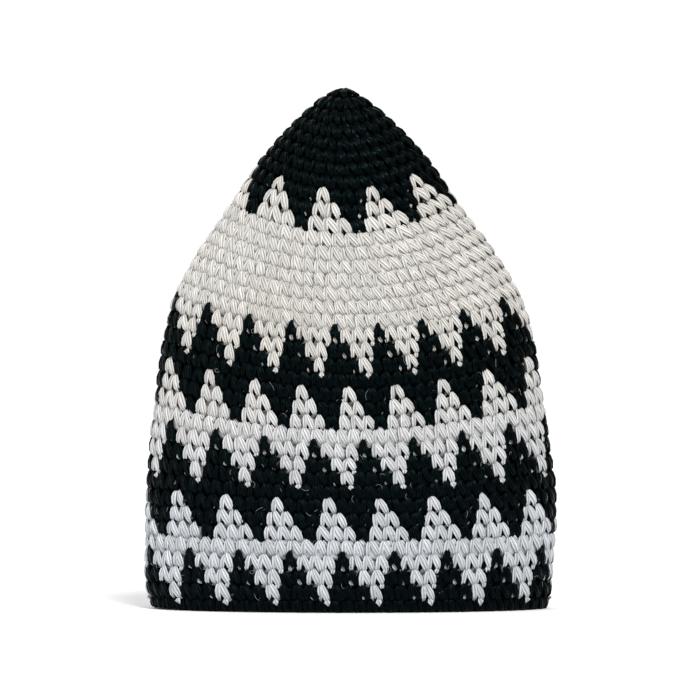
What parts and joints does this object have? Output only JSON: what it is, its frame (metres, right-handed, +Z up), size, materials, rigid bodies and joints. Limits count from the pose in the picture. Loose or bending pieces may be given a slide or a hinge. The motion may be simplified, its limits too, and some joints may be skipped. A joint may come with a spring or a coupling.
{
  "type": "kufi",
  "caption": "Tall pointed crocheted kufi cap in black and white zigzag bands, hollow for a head, standing half open on its edged rim.",
  "frame": {"origin": "on the ground, under the middle of the standing cap's bounding box", "axes": "+Z up from the rim to the tip; the front faces -Y, so +Y runs through the cap from front to back, and +X is to the right of someone facing the front"},
  "size_m": [0.2217, 0.1062, 0.281],
  "materials": {
    "white_yarn": "soft plied off-white yarn, crocheted, faint sheen",
    "black_yarn": "soft plied black yarn, crocheted, faint sheen"
  },
  "bodies": {
    "root": {"cap": "white_yarn", "rim_edging": "black_yarn"}
  },
  "joints": []
}
